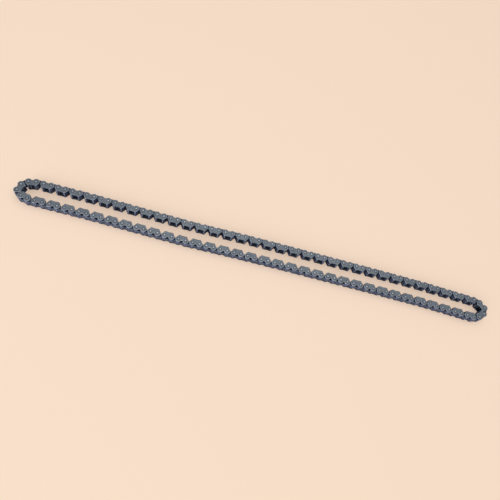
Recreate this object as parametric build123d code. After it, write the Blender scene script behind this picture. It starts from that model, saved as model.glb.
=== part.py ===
from build123d import *
from math import acos, cos, hypot, radians, sin
import os

# Endless inverted-tooth (silent) timing chain, lying on its side in a long thin loop.
# Pin axes run along +Z, the long way of the loop along +X.
# The origin is at the middle of the loop, on the plane the pin heads rest on.
# Millimetres and degrees throughout.

os.makedirs("parts", exist_ok=True)

# --- driving dimensions -------------------------------------------------------

PITCH = 6.35                    # pin to pin, the quarter-inch timing chain pitch
HALF_PITCH = PITCH / 2

GUIDE_THICK = 1.15              # outer guide plates, pressed on the pins
LINK_THICK = 1.08               # toothed link plates, free to turn on the pins
PLATE_GAP = 0.05                # running gap between neighbouring plates

PIN_RADIUS = 1.10
PIN_CLEARANCE = 0.05            # radial, pin to toothed plate
HEAD_RADIUS = 1.32              # upset rivet head at each pin end
HEAD_FLAT_RADIUS = 0.62
HEAD_HEIGHT = 0.35
HEAD_RIM = 0.12                 # straight part of the rivet head's side

LOBE_RADIUS = 2.90              # guide plate, round each pin
NOTCH_RADIUS = 1.10             # waist notch in the guide plate's back
NOTCH_CENTRE = 2.28             # beyond the pin line
FLANK_ANGLE = 33.0              # straight flank of every plate, off square to the plate
FLANK_OFFSET = 2.55             # from the pin axis to the flank's line
SHOULDER_RADIUS = 1.20          # joins the flank to the round of the plate's end
TOE_RADIUS = 0.35
TOE_DEPTH = 3.98                # toes and tooth tips, below the pin line
ARCH_DEPTH = 3.68               # middle of the guide plate's inner edge
ARCH_RADIUS = 14.0
EDGE_BREAK = 0.12               # broken edge on a guide plate's outer face

LINK_LOBE_RADIUS = 2.88         # toothed plate: straight back, rounded ends
CROTCH_HALF_WIDTH = 2.35        # between the two teeth, at their tips
CROTCH_ROOT_RADIUS = 0.75
CROTCH_ROOT_DEPTH = 0.85        # top of the crotch, below the pin line
TIP_CORNER = 0.25               # rounding of a tooth's inner corner

# Each run is hinged between segments of so many link pairs (one inner row and one
# guide row), and each segment lies a little off straight, the same in both runs.
SEGMENT_PAIRS = (4, 4, 3, 4, 3, 4, 3, 4, 4)
SEGMENT_LIE = (0.4, -0.8, -0.8, 1.2, 0.4, 0.0, 0.0, -0.4, -2.1)

# Headings of the five links round each end, turning from one run to the other.
END_HEADINGS = (14, 40, 100, 137, 167)

# --- plate and pin shapes -----------------------------------------------------


def flank_x(y):
    """Half width of a plate between its straight flanks, at a height y."""
    tilt = radians(FLANK_ANGLE)
    return HALF_PITCH + (FLANK_OFFSET + y * sin(tilt)) / cos(tilt)


def blank(lobe_radius, back):
    """What both plates share: round ends, shoulders, flanks and toes, filled up to the back."""
    turn = acos(FLANK_OFFSET / lobe_radius) - radians(FLANK_ANGLE)
    join = lobe_radius * sin(turn)
    low = flank_x(-TOE_DEPTH)
    high = HALF_PITCH + lobe_radius * cos(turn)
    corners = [(-low, -TOE_DEPTH), (low, -TOE_DEPTH), (high, join), (-high, join)]
    lower = make_face(Polyline(*corners, close=True))
    above = Pos(0, join + PITCH) * Rectangle(4 * PITCH, 2 * PITCH)
    web = Pos(0, (join + back) / 2) * Rectangle(PITCH, back - join)
    face = lower + web
    for side in (-1, 1):
        face += (Pos(side * HALF_PITCH, 0) * Circle(lobe_radius)) & above
    ends = face.vertices().sort_by(Axis.X)
    face = fillet([ends[0], ends[-1]], SHOULDER_RADIUS)
    return fillet(face.vertices().sort_by(Axis.Y)[:2], TOE_RADIUS)


def guide_face():
    """Guide plate outline: two lobes, a notch between them and a shallow arch below."""
    face = blank(LOBE_RADIUS, NOTCH_CENTRE - NOTCH_RADIUS / 2)
    face -= Pos(0, NOTCH_CENTRE) * Circle(NOTCH_RADIUS)
    face -= Pos(0, -ARCH_DEPTH - ARCH_RADIUS) * Circle(ARCH_RADIUS)
    for side in (-1, 1):
        face -= Pos(side * HALF_PITCH, 0) * Circle(PIN_RADIUS)
    return face


def link_face():
    """Toothed plate outline: straight back, and two teeth with the crotch between them."""
    face = blank(LINK_LOBE_RADIUS, LINK_LOBE_RADIUS)
    root = Pos(0, -CROTCH_ROOT_DEPTH - CROTCH_ROOT_RADIUS) * Circle(CROTCH_ROOT_RADIUS)
    mouth = Pos(0, -TOE_DEPTH - 0.5) * Rectangle(2 * CROTCH_HALF_WIDTH, 1.0)
    face -= make_hull(root.edges() + mouth.edges())
    tips = [v for v in face.vertices().group_by(Axis.Y)[0] if abs(v.X) < CROTCH_HALF_WIDTH + 0.1]
    face = fillet(tips, TIP_CORNER)
    for side in (-1, 1):
        face -= Pos(side * HALF_PITCH, 0) * Circle(PIN_RADIUS + PIN_CLEARANCE)
    return face


def guide_plate(outer_side):
    """One guide plate, its middle at the origin, the broken edge on its outer side."""
    plate = Pos(0, 0, -GUIDE_THICK / 2) * extrude(guide_face(), GUIDE_THICK)
    outer = plate.faces().sort_by(Axis.Z)[-1 if outer_side > 0 else 0]
    return chamfer(outer.outer_wire().edges(), EDGE_BREAK).solid()


def link_plate():
    """One toothed plate, its middle at the origin."""
    return (Pos(0, 0, -LINK_THICK / 2) * extrude(link_face(), LINK_THICK)).solid()


def riveted_pin(length):
    """One pin standing on its lower head, the shank between the two upset heads."""
    shoulder = HEAD_HEIGHT
    top = length - HEAD_HEIGHT
    profile = Polyline(
        (0, 0),
        (HEAD_FLAT_RADIUS, 0),
        (HEAD_RADIUS - 0.22, 0.11),
        (HEAD_RADIUS, HEAD_HEIGHT - HEAD_RIM),
        (HEAD_RADIUS, shoulder),
        (PIN_RADIUS, shoulder),
        (PIN_RADIUS, top),
        (HEAD_RADIUS, top),
        (HEAD_RADIUS, top + HEAD_RIM),
        (HEAD_RADIUS - 0.22, length - 0.11),
        (HEAD_FLAT_RADIUS, length),
        (0, length),
        close=True,
    )
    return revolve(Plane.XZ * make_face(profile), Axis.Z).solid()


# --- the stack of plates, from the lower guide plate up -----------------------

STACK = ("guide", "inner", "outer", "inner", "outer", "inner", "guide")


def stack_heights():
    """Middle height of every layer, sorted by the kind of plate in it."""
    heights = {"guide": [], "inner": [], "outer": []}
    z = HEAD_HEIGHT
    for kind in STACK:
        thick = GUIDE_THICK if kind == "guide" else LINK_THICK
        heights[kind].append(z + thick / 2)
        z += thick + PLATE_GAP
    return heights, z - PLATE_GAP + HEAD_HEIGHT


HEIGHTS, PIN_LENGTH = stack_heights()

# --- the path of the pins -----------------------------------------------------


def step(start, heading):
    """The next pin, one pitch on from the last."""
    return (start[0] + PITCH * cos(radians(heading)), start[1] + PITCH * sin(radians(heading)))


def run_headings():
    """Heading of every link along a run, from the left end to the right."""
    return [lie for pairs, lie in zip(SEGMENT_PAIRS, SEGMENT_LIE) for _ in range(2 * pairs)]


def pin_path():
    """Pins in order round the loop: left end, far run, right end, near run back."""
    pins = [(0.0, 0.0)]
    for heading in END_HEADINGS:
        pins.append(step(pins[-1], 180 - heading))
    for heading in run_headings():
        pins.append(step(pins[-1], heading))
    for heading in END_HEADINGS:
        pins.append(step(pins[-1], -heading))
    for heading in reversed(run_headings()):
        pins.append(step(pins[-1], 180 + heading))
    gap = hypot(pins[-1][0] - pins[0][0], pins[-1][1] - pins[0][1])
    assert gap < 1e-6, "the loop does not close"
    return pins[:-1]


PINS = pin_path()
LINKS = len(PINS)


def link_frame(index):
    """Place a plate on link index: middle between its two pins, teeth inside the loop."""
    x0, y0 = PINS[index % LINKS]
    x1, y1 = PINS[(index + 1) % LINKS]
    along = Vector(x1 - x0, y1 - y0, 0)
    return Plane(origin=((x0 + x1) / 2, (y0 + y1) / 2, 0), x_dir=along, z_dir=(0, 0, 1)).location


# --- rigid segments: which links make up each -----------------------------------

# Even links are guide rows, which hold their two pins. Odd links are inner rows.


def segments():
    """Name and links of every rigid segment. Two neighbours share one hinge pin."""
    end_links = len(END_HEADINGS)
    table = [("left_end", range(0, end_links))]
    first = end_links
    for number, pairs in enumerate(SEGMENT_PAIRS, start=1):
        table.append((f"far_run_{number}", range(first, first + 2 * pairs)))
        first += 2 * pairs
    table.append(("right_end", range(first, first + end_links)))
    last = LINKS
    for number, pairs in enumerate(SEGMENT_PAIRS, start=1):
        table.append((f"near_run_{number}", range(last - 2 * pairs, last)))
        last -= 2 * pairs
    return table


def build_segment(links):
    """Guide plates, toothed plates and pins of one segment."""
    guides, plates, pins = [], [], []
    for link in links:
        place = link_frame(link)
        if link % 2 == 0:
            guides.append(place * Pos(0, 0, HEIGHTS["guide"][0]) * LOWER_GUIDE)
            guides.append(place * Pos(0, 0, HEIGHTS["guide"][1]) * UPPER_GUIDE)
            plates += [place * Pos(0, 0, z) * LINK for z in HEIGHTS["outer"]]
            pins += [place * Pos(side * HALF_PITCH, 0, 0) * PIN for side in (-1, 1)]
        else:
            plates += [place * Pos(0, 0, z) * LINK for z in HEIGHTS["inner"]]
    return {"guides": guides, "plates": plates, "pins": pins}


LOWER_GUIDE = guide_plate(-1)
UPPER_GUIDE = guide_plate(1)
LINK = link_plate()
PIN = riveted_pin(PIN_LENGTH)

chain = {
    f"{name}_{kind}": Compound(solids)
    for name, links in segments()
    for kind, solids in build_segment(links).items()
}

box = Compound(list(chain.values())).bounding_box()
centre = Pos(-box.center().X, -box.center().Y, 0)

for node, shape in chain.items():
    export_step(centre * shape, f"parts/{node}.step")
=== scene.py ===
import random
from math import acos, asin, atan2, cos, degrees, hypot, pi, radians, sin, tan

import bpy
from mathutils import Matrix, Vector
from mathutils.geometry import tessellate_polygon


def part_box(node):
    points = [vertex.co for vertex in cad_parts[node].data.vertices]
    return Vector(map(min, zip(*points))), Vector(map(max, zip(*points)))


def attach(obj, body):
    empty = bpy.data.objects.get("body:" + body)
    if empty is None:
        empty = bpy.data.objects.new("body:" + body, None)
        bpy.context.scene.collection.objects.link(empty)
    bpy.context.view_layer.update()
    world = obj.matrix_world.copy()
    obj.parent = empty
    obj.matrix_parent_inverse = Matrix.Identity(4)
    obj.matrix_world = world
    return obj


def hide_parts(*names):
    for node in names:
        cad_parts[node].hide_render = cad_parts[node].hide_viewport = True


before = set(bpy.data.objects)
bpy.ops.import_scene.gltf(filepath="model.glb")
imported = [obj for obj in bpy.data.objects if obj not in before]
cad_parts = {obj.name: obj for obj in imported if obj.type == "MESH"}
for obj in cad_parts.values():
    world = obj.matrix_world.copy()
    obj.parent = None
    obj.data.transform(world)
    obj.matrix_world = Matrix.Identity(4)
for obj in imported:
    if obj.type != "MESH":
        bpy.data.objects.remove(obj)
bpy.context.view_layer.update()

MM = 0.001
SEED = 71
rng = random.Random(SEED)

# --- dimensions of the chain, as the CAD model has them (millimetres) ----------

PITCH = 6.35
HALF_PITCH = PITCH / 2
GUIDE_THICK = 1.15
LINK_THICK = 1.08
PLATE_GAP = 0.05
PIN_RADIUS = 1.10
PIN_CLEARANCE = 0.05
HEAD_RADIUS = 1.32
HEAD_FLAT_RADIUS = 0.62
HEAD_HEIGHT = 0.35
LOBE_RADIUS = 2.90
NOTCH_RADIUS = 1.10
NOTCH_CENTRE = 2.28
FLANK_ANGLE = 33.0
FLANK_OFFSET = 2.55
SHOULDER_RADIUS = 1.20
TOE_RADIUS = 0.35
TOE_DEPTH = 3.98
ARCH_DEPTH = 3.68
ARCH_RADIUS = 14.0
LINK_LOBE_RADIUS = 2.88
CROTCH_HALF_WIDTH = 2.35
CROTCH_ROOT_RADIUS = 0.75
CROTCH_ROOT_DEPTH = 0.85
TIP_CORNER = 0.25

SEGMENT_PAIRS = (4, 4, 3, 4, 3, 4, 3, 4, 4)
SEGMENT_LIE = (0.4, -0.8, -0.8, 1.2, 0.4, 0.0, 0.0, -0.4, -2.1)
END_HEADINGS = (14, 40, 100, 137, 167)
STACK = ("guide", "inner", "outer", "inner", "outer", "inner", "guide")

# What the visual pieces add to it.
GUIDE_ROUNDING = 0.26           # rolled edge of a guide plate's outer face
LINK_ROUNDING = 0.09            # rolled edge of a toothed plate's upper face
BURR_BREAK = 0.03               # broken edge on the other face of either plate
ROUNDING_STEPS = 3
HOLD_WIDTH = 0.05               # narrow rings beside the rounding keep the flat parts flat
CIRCLE_STEPS = 28               # sides of a pin and of a pin hole
SAME_POINT = 1e-4
SMOOTH_BELOW = 35               # edges under this angle are shaded smooth, degrees

# A pin head's profile down to its widest: radius, and depth below the end of the pin.
HEAD_PROFILE = (
    (0.0, 0.0), (0.34, 0.0), (HEAD_FLAT_RADIUS, 0.012), (0.80, 0.045), (0.96, 0.085),
    (1.10, 0.130), (1.21, 0.180), (1.29, 0.235), (HEAD_RADIUS, 0.290), (HEAD_RADIUS, HEAD_HEIGHT),
)

# --- plate outlines --------------------------------------------------------------


def arc(cx, cy, r, a0, a1, steps):
    """Points on an arc from angle a0 to a1, degrees, both ends included."""
    angles = [radians(a0 + (a1 - a0) * i / steps) for i in range(steps + 1)]
    return [(cx + r * cos(a), cy + r * sin(a)) for a in angles]


def flank_x(y):
    """Half width of a plate between its straight flanks, at a height y."""
    tilt = radians(FLANK_ANGLE)
    return HALF_PITCH + (FLANK_OFFSET + y * sin(tilt)) / cos(tilt)


def toe_and_flank(lobe_radius):
    """Rounded toe and the shoulder of the right side, and the angle where the lobe begins."""
    lean = radians(90 - FLANK_ANGLE)
    toe_x = flank_x(-TOE_DEPTH) - TOE_RADIUS * tan(lean / 2)
    points = arc(toe_x, TOE_RADIUS - TOE_DEPTH, TOE_RADIUS, -90, -FLANK_ANGLE, 5)
    reach = lobe_radius - SHOULDER_RADIUS
    top = degrees(acos((FLANK_OFFSET - SHOULDER_RADIUS) / reach)) - FLANK_ANGLE
    x = HALF_PITCH + reach * cos(radians(top))
    y = reach * sin(radians(top))
    return points + arc(x, y, SHOULDER_RADIUS, -FLANK_ANGLE, top, 6), top


def mirrored(half):
    """Closes an outline from its right half, which runs from the bottom to the top."""
    points = half + [(-x, y) for x, y in reversed(half)]
    out = []
    for p in points:
        if not out or hypot(p[0] - out[-1][0], p[1] - out[-1][1]) > SAME_POINT:
            out.append(p)
    if hypot(out[0][0] - out[-1][0], out[0][1] - out[-1][1]) <= SAME_POINT:
        out.pop()
    return out


def guide_outline():
    """Guide plate: arch, toes, flanks, lobes and the waist notch between the lobes."""
    arch_y = -ARCH_DEPTH - ARCH_RADIUS
    arch_end = degrees(asin((-TOE_DEPTH - arch_y) / ARCH_RADIUS))
    # the crossing of lobe and notch, on the right
    gap = hypot(HALF_PITCH, NOTCH_CENTRE)
    toward = atan2(NOTCH_CENTRE, -HALF_PITCH)
    open_by = acos((LOBE_RADIUS**2 + gap**2 - NOTCH_RADIUS**2) / (2 * LOBE_RADIUS * gap))
    lobe_end = toward - open_by
    cross = (HALF_PITCH + LOBE_RADIUS * cos(lobe_end), LOBE_RADIUS * sin(lobe_end))
    notch_start = degrees(atan2(cross[1] - NOTCH_CENTRE, cross[0]))
    side, shoulder = toe_and_flank(LOBE_RADIUS)
    half = arc(0, arch_y, ARCH_RADIUS, 90, arch_end, 7) + side
    half += arc(HALF_PITCH, 0, LOBE_RADIUS, shoulder, degrees(lobe_end), 22)
    half += arc(0, NOTCH_CENTRE, NOTCH_RADIUS, notch_start, -90, 7)
    return mirrored(half)


def link_outline():
    """Toothed plate: crotch, tooth tips, flanks and a straight back."""
    root_y = -CROTCH_ROOT_DEPTH - CROTCH_ROOT_RADIUS
    # the crotch's side, from the tip's inner corner to where it touches the root circle
    dx, dy = CROTCH_HALF_WIDTH, -TOE_DEPTH - root_y
    touch = degrees(atan2(dy, dx) + acos(CROTCH_ROOT_RADIUS / hypot(dx, dy)))
    corner_x = CROTCH_HALF_WIDTH + TIP_CORNER * tan(radians(90 - touch) / 2)
    side, shoulder = toe_and_flank(LINK_LOBE_RADIUS)
    half = arc(0, root_y, CROTCH_ROOT_RADIUS, 90, touch, 6)
    half += arc(corner_x, TIP_CORNER - TOE_DEPTH, TIP_CORNER, 180 + touch, 270, 4)
    half += side + arc(HALF_PITCH, 0, LINK_LOBE_RADIUS, shoulder, 90, 18)
    return mirrored(half)


def hole(x, radius):
    """Points round a pin hole, without the first one again."""
    steps = CIRCLE_STEPS - 1
    return arc(x, 0, radius, 0, 360 * steps / CIRCLE_STEPS, steps)


def inset(points, distance):
    """Every point moved inside a counter-clockwise outline by that distance."""
    out = []
    n = len(points)
    for i in range(n):
        before = Vector(points[i]) - Vector(points[i - 1])
        after = Vector(points[(i + 1) % n]) - Vector(points[i])
        normals = [Vector((-v.y, v.x)).normalized() for v in (before, after)]
        mean = (normals[0] + normals[1]).normalized()
        scale = distance / max(0.5, mean.dot(normals[0]))
        out.append((points[i][0] + mean.x * scale, points[i][1] + mean.y * scale))
    return out


# --- pieces as vertex and face lists, in millimetres, middle at the origin ------


def edge_levels(thick, rounding):
    """Height and inset of each ring down a plate's edge, from its upper to its lower face."""
    top = thick / 2
    levels = [(top, rounding + HOLD_WIDTH)]
    for i in range(ROUNDING_STEPS + 1):
        a = radians(90 / ROUNDING_STEPS * i)
        levels.append((top - rounding * (1 - cos(a)), rounding * (1 - sin(a))))
    levels.append((top - rounding - HOLD_WIDTH, 0.0))
    levels.append((-top + BURR_BREAK, 0.0))
    levels.append((-top, BURR_BREAK))
    return levels


def plate_mesh(outline, hole_radius, thick, rounding):
    """A blanked plate: rounded edge on top, a small broken edge below, holes for two pins."""
    levels = edge_levels(thick, rounding)
    verts, faces = [], []
    n = len(outline)
    for z, distance in levels:
        ring = inset(outline, distance) if distance else outline
        verts += [(x, y, z) for x, y in ring]
    for k in range(len(levels) - 1):
        for i in range(n):
            j = (i + 1) % n
            faces.append((k * n + i, (k + 1) * n + i, (k + 1) * n + j, k * n + j))
    holes = [hole(side * HALF_PITCH, hole_radius) for side in (-1, 1)]
    starts = []
    for ring in holes:
        starts.append(len(verts))
        verts += [(x, y, thick / 2) for x, y in ring]
        verts += [(x, y, -thick / 2) for x, y in ring]
    for ring, start in zip(holes, starts):
        m = len(ring)
        for i in range(m):
            j = (i + 1) % m
            faces.append((start + i, start + j, start + m + j, start + m + i))
    for top in (True, False):
        ring_start = 0 if top else (len(levels) - 1) * n
        loops = [list(range(ring_start, ring_start + n))]
        for ring, start in zip(holes, starts):
            m = len(ring)
            first = start if top else start + m
            loops.append(list(range(first, first + m)))
        flat = [i for loop in loops for i in loop]
        tris = tessellate_polygon([[Vector(verts[i]) for i in loop] for loop in loops])
        for a, b, c in tris:
            ids = (flat[a], flat[b], flat[c])
            va, vb, vc = (Vector(verts[i]) for i in ids)
            up = (vb - va).cross(vc - va).z > 0
            faces.append(ids if up == top else ids[::-1])
    return verts, faces


def pin_mesh(length):
    """A riveted pin: shank, and at each end a spun head with a flat middle."""
    half = length / 2
    profile = [(r, half - drop) for r, drop in HEAD_PROFILE]
    profile.append((PIN_RADIUS, half - HEAD_HEIGHT))
    profile += [(r, -z) for r, z in reversed(profile)]
    turns = [2 * pi * i / CIRCLE_STEPS for i in range(CIRCLE_STEPS)]
    verts, faces, rings = [], [], []
    for r, z in profile:
        start = len(verts)
        if r == 0.0:
            rings.append([start])
            verts.append((0.0, 0.0, z))
        else:
            rings.append(list(range(start, start + CIRCLE_STEPS)))
            verts += [(r * cos(a), r * sin(a), z) for a in turns]
    for upper, lower in zip(rings, rings[1:]):
        for i in range(CIRCLE_STEPS):
            j = (i + 1) % CIRCLE_STEPS
            if len(upper) == 1:
                faces.append((upper[0], lower[i], lower[j]))
            elif len(lower) == 1:
                faces.append((upper[i], lower[0], upper[j]))
            else:
                faces.append((upper[i], lower[i], lower[j], upper[j]))
    return verts, faces


def flipped(mesh):
    """The same piece turned upside down in its own place."""
    verts, faces = mesh
    return [(x, y, -z) for x, y, z in verts], [face[::-1] for face in faces]


def stack_heights():
    """Middle height of every layer by its kind, and the length of a pin."""
    middles = {"guide": [], "inner": [], "outer": []}
    level = HEAD_HEIGHT
    for layer in STACK:
        thick = GUIDE_THICK if layer == "guide" else LINK_THICK
        middles[layer].append(level + thick / 2)
        level += thick + PLATE_GAP
    return middles, level - PLATE_GAP + HEAD_HEIGHT


HEIGHTS, PIN_LENGTH = stack_heights()
GUIDE_UP = plate_mesh(guide_outline(), PIN_RADIUS, GUIDE_THICK, GUIDE_ROUNDING)
GUIDE_DOWN = flipped(GUIDE_UP)
LINK_UP = plate_mesh(link_outline(), PIN_RADIUS + PIN_CLEARANCE, LINK_THICK, LINK_ROUNDING)
LINK_DOWN = flipped(LINK_UP)
PIN = pin_mesh(PIN_LENGTH)

# --- the path of the pins, placed by the CAD model's own box ---------------------


def step(start, heading):
    """The next pin, one pitch on from the last."""
    a = radians(heading)
    return (start[0] + PITCH * cos(a), start[1] + PITCH * sin(a))


def pin_path():
    """Pins in order round the loop: left end, far run, right end, near run back."""
    run = [lie for pairs, lie in zip(SEGMENT_PAIRS, SEGMENT_LIE) for _ in range(2 * pairs)]
    pins = [(0.0, 0.0)]
    headings = [180 - h for h in END_HEADINGS] + run
    headings += [-h for h in END_HEADINGS] + [180 + h for h in reversed(run)]
    for heading in headings:
        pins.append(step(pins[-1], heading))
    return pins[:-1]


def segment_links():
    """Body name to the links it holds. Even links are guide rows, odd links inner rows."""
    ends = len(END_HEADINGS)
    table = {"left_end": range(0, ends)}
    first = ends
    for number, pairs in enumerate(SEGMENT_PAIRS, start=1):
        table[f"far_run_{number}"] = range(first, first + 2 * pairs)
        first += 2 * pairs
    table["right_end"] = range(first, first + ends)
    last = 2 * (ends + 2 * sum(SEGMENT_PAIRS))
    for number, pairs in enumerate(SEGMENT_PAIRS, start=1):
        table[f"near_run_{number}"] = range(last - 2 * pairs, last)
        last -= 2 * pairs
    return table


pins = pin_path()
links_of = segment_links()
left_pins = {i for link in links_of["left_end"] if link % 2 == 0 for i in (link, link + 1)}
low_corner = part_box("left_end_pins")[0]
shift_x = low_corner[0] / MM + HEAD_RADIUS - min(pins[i][0] for i in left_pins)
shift_y = low_corner[1] / MM + HEAD_RADIUS - min(pins[i][1] for i in left_pins)
pins = [(x + shift_x, y + shift_y) for x, y in pins]


def link_frame(index):
    """Middle of a link and its direction."""
    x0, y0 = pins[index % len(pins)]
    x1, y1 = pins[(index + 1) % len(pins)]
    return (x0 + x1) / 2, (y0 + y1) / 2, atan2(y1 - y0, x1 - x0)


# --- joined pieces -----------------------------------------------------------------


class Heap:
    """Collects many alike pieces into one mesh, keeping each one's own coordinates."""

    def __init__(self):
        self.verts, self.faces, self.local, self.tone = [], [], [], []

    def add(self, mesh, x, y, z, angle, tone):
        base = len(self.verts)
        verts, faces = mesh
        c, s = cos(angle), sin(angle)
        for u, v, w in verts:
            self.verts.append(((x + c * u - s * v) * MM, (y + s * u + c * v) * MM, (z + w) * MM))
        self.faces += [tuple(base + i for i in face) for face in faces]
        self.local += verts
        self.tone += [tone] * len(verts)

    def build(self, name, material):
        mesh = bpy.data.meshes.new(name)
        mesh.from_pydata(self.verts, [], self.faces)
        local = mesh.attributes.new("local", "FLOAT_VECTOR", "POINT")
        local.data.foreach_set("vector", [c for v in self.local for c in v])
        tone = mesh.attributes.new("tone", "FLOAT", "POINT")
        tone.data.foreach_set("value", self.tone)
        mesh.materials.append(material)
        mesh.validate()
        mesh.set_sharp_from_angle(angle=radians(SMOOTH_BELOW))
        for poly in mesh.polygons:
            poly.use_smooth = True
        obj = bpy.data.objects.new(name, mesh)
        bpy.context.scene.collection.objects.link(obj)
        return obj


# --- materials ---------------------------------------------------------------------


class Nodes:
    """Short calls for building a node tree."""

    def __init__(self, name):
        self.material = bpy.data.materials.new(name)
        self.material.use_nodes = True
        self.tree = self.material.node_tree
        self.shader = self.tree.nodes["Principled BSDF"]
        coord = self.tree.nodes.new("ShaderNodeTexCoord")
        self.space = coord.outputs["Object"]
        self.normal = coord.outputs["Normal"]
        self.local = self.attribute("local").outputs["Vector"]
        self.tone = self.attribute("tone").outputs["Fac"]

    def attribute(self, name):
        node = self.tree.nodes.new("ShaderNodeAttribute")
        node.attribute_name = name
        return node

    def link(self, a, b):
        self.tree.links.new(a, b)

    def split(self, vector):
        """The X, Y and Z of a vector."""
        node = self.tree.nodes.new("ShaderNodeSeparateXYZ")
        self.link(vector, node.inputs[0])
        return node.outputs

    def math(self, kind, a, b=None, c=None):
        node = self.tree.nodes.new("ShaderNodeMath")
        node.operation = kind
        for socket, value in zip(node.inputs, (a, b, c)):
            if value is None:
                continue
            if isinstance(value, (int, float)):
                socket.default_value = value
            else:
                self.link(value, socket)
        return node.outputs[0]

    def noise(self, vector, scale, detail=3.0, rough=0.55, stretch=None):
        if stretch:
            mapping = self.tree.nodes.new("ShaderNodeMapping")
            mapping.inputs["Scale"].default_value = stretch
            self.link(vector, mapping.inputs["Vector"])
            vector = mapping.outputs[0]
        node = self.tree.nodes.new("ShaderNodeTexNoise")
        node.inputs["Scale"].default_value = scale
        node.inputs["Detail"].default_value = detail
        node.inputs["Roughness"].default_value = rough
        self.link(vector, node.inputs["Vector"])
        return node.outputs["Fac"]

    def span(self, value, from_low, from_high, to_low=0.0, to_high=1.0):
        """Smooth step from to_low to to_high while the value goes through its range."""
        node = self.tree.nodes.new("ShaderNodeMapRange")
        node.interpolation_type = "SMOOTHSTEP"
        node.inputs["From Min"].default_value = from_low
        node.inputs["From Max"].default_value = from_high
        node.inputs["To Min"].default_value = to_low
        node.inputs["To Max"].default_value = to_high
        self.link(value, node.inputs["Value"])
        return node.outputs["Result"]

    def mix(self, factor, a, b):
        node = self.tree.nodes.new("ShaderNodeMix")
        node.data_type = "RGBA"
        for socket, value in ((node.inputs[0], factor), (node.inputs[6], a), (node.inputs[7], b)):
            if isinstance(value, (int, float)):
                socket.default_value = value
            elif isinstance(value, tuple):
                socket.default_value = (*value, 1.0)
            else:
                self.link(value, socket)
        return node.outputs[2]

    def upness(self):
        """How far the surface faces along the pins: 1 on plate faces, 0 on their edges."""
        return self.math("ABSOLUTE", self.split(self.normal)["Z"])

    def length(self, x, y):
        squares = self.math("MULTIPLY_ADD", y, y, self.math("MULTIPLY", x, x))
        return self.math("SQRT", squares)

    def radius(self):
        """Distance from the pin's axis in a pin's own millimetres."""
        parts = self.split(self.local)
        return self.length(parts["X"], parts["Y"])

    def plate_axes(self):
        """Distance from a plate's middle line, and height from its pin line, millimetres."""
        parts = self.split(self.local)
        return self.math("ABSOLUTE", parts["X"]), parts["Y"]

    def bump(self, height, strength, distance):
        node = self.tree.nodes.new("ShaderNodeBump")
        node.inputs["Strength"].default_value = strength
        node.inputs["Distance"].default_value = distance
        self.link(height, node.inputs["Height"])
        self.link(node.outputs[0], self.shader.inputs["Normal"])


# painted shade: a near-black blue put on walls and faces where shade falls, in the hollows and low
# in the stack
PAINTED_SHADE = (0.003, 0.007, 0.036)


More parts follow.
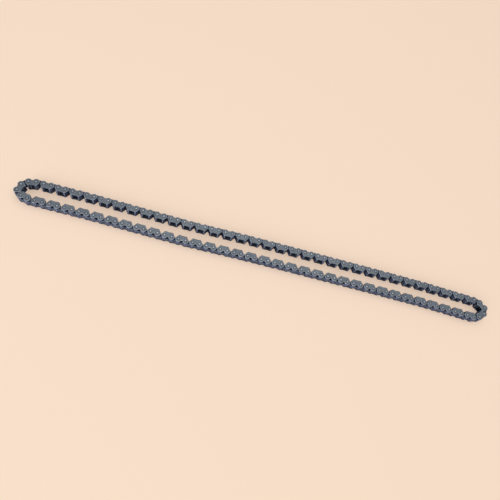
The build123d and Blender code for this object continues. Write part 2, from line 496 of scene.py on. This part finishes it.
def plate_steel(name, face, face_dark, edge, edge_worn, tip, arris, head_grease_and_shade, guide):
    """Oiled blue-grey sheet steel: mottled faces, streaked edges, arrises polished and painted
    light, painted shade in the hollows, round the heads and low in the stack.
    """
    n = Nodes(name)
    up = n.upness()
    across, depth = n.plate_axes()
    height = n.split(n.space)["Z"]
    # faces: mottled, with grease and painted shade held round the rivet heads, where the heads
    # meet the plate
    mottle = n.span(n.noise(n.space, 260.0, 4.0), 0.35, 0.68)
    film = n.span(n.noise(n.space, 900.0, 3.0), 0.40, 0.62)
    shade = n.math("MULTIPLY_ADD", mottle, 0.55, n.math("MULTIPLY", n.tone, 0.45))
    colour = n.mix(shade, face_dark, face)
    away = n.length(n.math("SUBTRACT", across, HALF_PITCH), depth)
    grease_and_shade_ring = n.math("MULTIPLY", n.span(away, 1.30, 1.85, 1.0, 0.0), n.span(film, 0.0, 1.0, 0.5, 1.0))
    colour = n.mix(n.math("MULTIPLY", grease_and_shade_ring, head_grease_and_shade), colour, tuple(c * 0.5 for c in face_dark))
    # edges: blanking streaks, lighter towards the tips, and painted shade low in the stack, darker
    # towards the bottom
    stripes = n.noise(n.space, 700.0, 3.0, 0.6, (1.0, 1.0, 0.12))
    side = n.mix(n.span(stripes, 0.35, 0.7), edge, edge_worn)
    side = n.mix(n.span(depth, -2.6, -1.0, 0.6, 0.0), side, tip)
    side = n.mix(n.span(height, 0.0010, 0.0055, 0.68, 0.0), side, PAINTED_SHADE)
    # painted shade in the mouth between the teeth and in the waist between the lobes
    mouth_shade = n.span(across, 2.45, 3.00, 1.0, 0.0)
    mouth_shade = n.math("MULTIPLY", mouth_shade, n.span(depth, -0.9, -0.5, 1.0, 0.0))
    waist = n.math("MULTIPLY", n.span(across, 0.85, 1.5, 1.0, 0.0), n.span(depth, 0.5, 1.1))
    if guide:
        # painted shade in the arches of the upper guide plates only, the lower ones being darkened
        # by the painted shade low in the stack
        mouth_shade = n.math("MULTIPLY", mouth_shade, n.span(height, 0.002, 0.005))
        # painted shade on the walls of the waist notch
        side = n.mix(n.math("MULTIPLY", waist, 0.9), side, PAINTED_SHADE)
    else:
        # painted shade on the face that shows through the guide plate's notch, short of the
        # plate's back
        waist = n.math("MULTIPLY", waist, n.span(depth, 1.7, 2.2, 1.0, 0.0))
        colour = n.mix(n.math("MULTIPLY", waist, 0.9), colour, PAINTED_SHADE)
    side = n.mix(n.math("MULTIPLY", mouth_shade, 0.96), side, PAINTED_SHADE)
    colour = n.mix(n.span(up, 0.25, 0.75), side, colour)
    # arrises between face and edge, polished in patches and painted light there as a highlight
    rim_wear_and_highlight = n.math("MULTIPLY", n.span(up, 0.20, 0.55), n.span(up, 0.90, 0.985, 1.0, 0.0))
    rim_wear_and_highlight = n.math("MULTIPLY", rim_wear_and_highlight, n.math("SUBTRACT", 1.0, mouth_shade))
    chips = n.span(n.noise(n.space, 1500.0, 2.0), 0.30, 0.55)
    colour = n.mix(n.math("MULTIPLY", rim_wear_and_highlight, chips), colour, arris)
    n.link(colour, n.shader.inputs["Base Color"])
    rough = n.math("ADD", n.span(film, 0.0, 1.0, 0.34, 0.52), n.span(up, 0.2, 0.8, 0.16, 0.0))
    n.link(rough, n.shader.inputs["Roughness"])
    n.shader.inputs["Metallic"].default_value = 0.85
    n.shader.inputs["Specular Tint"].default_value = (0.55, 0.70, 1.0, 1)
    grain = n.math("MULTIPLY_ADD", n.noise(n.space, 3800.0, 2.0), 0.5, stripes)
    n.bump(grain, 0.22, 0.00004)
    return n.material


def pin_steel():
    """Hardened pins: spun heads with fine turned rings, light in the middle from polish and a
    painted highlight, and painted shade towards the edge of the head.
    """
    n = Nodes("pin_steel")
    out = n.radius()
    spots = n.span(n.noise(n.space, 1300.0, 3.0), 0.35, 0.7)
    # middle of the head: polish with a painted highlight
    polish_and_highlight = n.mix(n.tone, (0.44, 0.46, 0.49), (0.66, 0.68, 0.71))
    polish_and_highlight = n.mix(n.math("MULTIPLY", spots, 0.35), polish_and_highlight, (0.24, 0.25, 0.27))
    # painted shade towards the edge of the head
    head_edge_shade = n.span(out, 0.66, 1.05)
    colour = n.mix(head_edge_shade, polish_and_highlight, (0.105, 0.12, 0.145))
    n.link(colour, n.shader.inputs["Base Color"])
    n.link(n.span(spots, 0.0, 1.0, 0.30, 0.45), n.shader.inputs["Roughness"])
    n.shader.inputs["Metallic"].default_value = 0.9
    rings = n.math("SINE", n.math("MULTIPLY", out, 46.0))
    n.bump(n.math("MULTIPLY_ADD", rings, 0.5, spots), 0.12, 0.00003)
    return n.material


GUIDE_STEEL = plate_steel(
    "guide_steel",
    face=(0.275, 0.305, 0.340),
    face_dark=(0.195, 0.220, 0.250),
    edge=(0.100, 0.135, 0.250),
    edge_worn=(0.200, 0.245, 0.385),
    tip=(0.28, 0.33, 0.50),
    arris=(0.85, 0.90, 1.0),
    head_grease_and_shade=0.40,
    guide=True,
)
LINK_STEEL = plate_steel(
    "link_steel",
    face=(0.150, 0.170, 0.205),
    face_dark=(0.100, 0.118, 0.150),
    edge=(0.125, 0.160, 0.285),
    edge_worn=(0.250, 0.295, 0.450),
    tip=(0.36, 0.42, 0.64),
    arris=(0.62, 0.68, 0.80),
    head_grease_and_shade=0.7,
    guide=False,
)
PIN_STEEL = pin_steel()

# --- build every body's plates and pins ------------------------------------------------

# Each piece draws its turn first, where it has one, and then its tone.
for body, links in links_of.items():
    guides, plates, studs = Heap(), Heap(), Heap()
    for link in links:
        x, y, angle = link_frame(link)
        row = "inner" if link % 2 else "outer"
        for z in HEIGHTS[row]:
            plate = LINK_UP if rng.random() < 0.5 else LINK_DOWN
            plates.add(plate, x, y, z, angle, rng.random())
        if row == "outer":
            guides.add(GUIDE_DOWN, x, y, HEIGHTS["guide"][0], angle, rng.random())
            guides.add(GUIDE_UP, x, y, HEIGHTS["guide"][1], angle, rng.random())
            for pin in (link, link + 1):
                px, py = pins[pin % len(pins)]
                studs.add(PIN, px, py, PIN_LENGTH / 2, rng.uniform(0, pi), rng.random())
    for heap, kind, material, slot in (
        (guides, "guides", GUIDE_STEEL, "guide_plate"),
        (plates, "plates", LINK_STEEL, "link_plate"),
        (studs, "pins", PIN_STEEL, "pin"),
    ):
        piece = heap.build(f"{body}_{kind}_finished", material)
        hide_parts(f"{body}_{kind}")
        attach(piece, body)

# --- floor, light and camera ------------------------------------------------------------

FLOOR_COLOUR = (0.82, 0.635, 0.495)
FLOOR_HALF_WIDTH = 6.0


def floor():
    """Plain pale paper, with a little emission so that it stays even."""
    mesh = bpy.data.meshes.new("floor")
    r = FLOOR_HALF_WIDTH
    mesh.from_pydata([(-r, -r, 0), (r, -r, 0), (r, r, 0), (-r, r, 0)], [], [(0, 1, 2, 3)])
    obj = bpy.data.objects.new("floor", mesh)
    bpy.context.scene.collection.objects.link(obj)
    material = bpy.data.materials.new("floor_paper")
    material.use_nodes = True
    shader = material.node_tree.nodes["Principled BSDF"]
    shader.inputs["Base Color"].default_value = (*FLOOR_COLOUR, 1)
    shader.inputs["Roughness"].default_value = 0.9
    shader.inputs["Specular IOR Level"].default_value = 0.0
    shader.inputs["Emission Color"].default_value = (*FLOOR_COLOUR, 1)
    shader.inputs["Emission Strength"].default_value = 0.50
    mesh.materials.append(material)


def area_light(name, place, size, power, colour=(1, 1, 1)):
    """A square soft light aimed at the origin."""
    data = bpy.data.lights.new(name, "AREA")
    data.shape = "SQUARE"
    data.size = size
    data.energy = power
    data.color = colour
    lamp = bpy.data.objects.new(name, data)
    lamp.location = place
    lamp.rotation_euler = (-Vector(place)).to_track_quat("-Z", "Y").to_euler()
    bpy.context.scene.collection.objects.link(lamp)


floor()
area_light("key", (0.1, 0.15, 1.5), 2.0, 7.5)
area_light("front", (-0.8, -1.2, 0.75), 1.0, 6.5, (0.86, 0.92, 1.0))

world = bpy.data.worlds.new("studio")
world.use_nodes = True
world.node_tree.nodes["Background"].inputs["Color"].default_value = (0.93, 0.97, 1.0, 1)
world.node_tree.nodes["Background"].inputs["Strength"].default_value = 0.35
bpy.context.scene.world = world
bpy.context.scene.view_settings.view_transform = "Standard"

CAMERA_AZIMUTH = radians(-12.32)
CAMERA_ELEVATION = radians(63.65)
CAMERA_ROLL = radians(25.8)
CAMERA_DISTANCE = 0.41716
CAMERA_TARGET = Vector((-0.01139, 0.00210, 0.0))
CAMERA_LENS = 32.4

# back points from the target to the camera, right and upward along the picture's sides
back = Vector((
    sin(CAMERA_AZIMUTH) * cos(CAMERA_ELEVATION),
    -cos(CAMERA_AZIMUTH) * cos(CAMERA_ELEVATION),
    sin(CAMERA_ELEVATION),
))
level_x = Vector((0, 0, 1)).cross(back).normalized()
level_y = back.cross(level_x)
right = cos(CAMERA_ROLL) * level_x + sin(CAMERA_ROLL) * level_y
upward = -sin(CAMERA_ROLL) * level_x + cos(CAMERA_ROLL) * level_y
camera_data = bpy.data.cameras.new("camera")
camera_data.lens = CAMERA_LENS
camera_data.sensor_width = 36
camera_data.clip_start = 0.01
camera = bpy.data.objects.new("camera", camera_data)
turned = Matrix((right, upward, back)).transposed().to_4x4()
camera.matrix_world = Matrix.Translation(CAMERA_TARGET + back * CAMERA_DISTANCE) @ turned
bpy.context.scene.collection.objects.link(camera)
bpy.context.scene.camera = camera
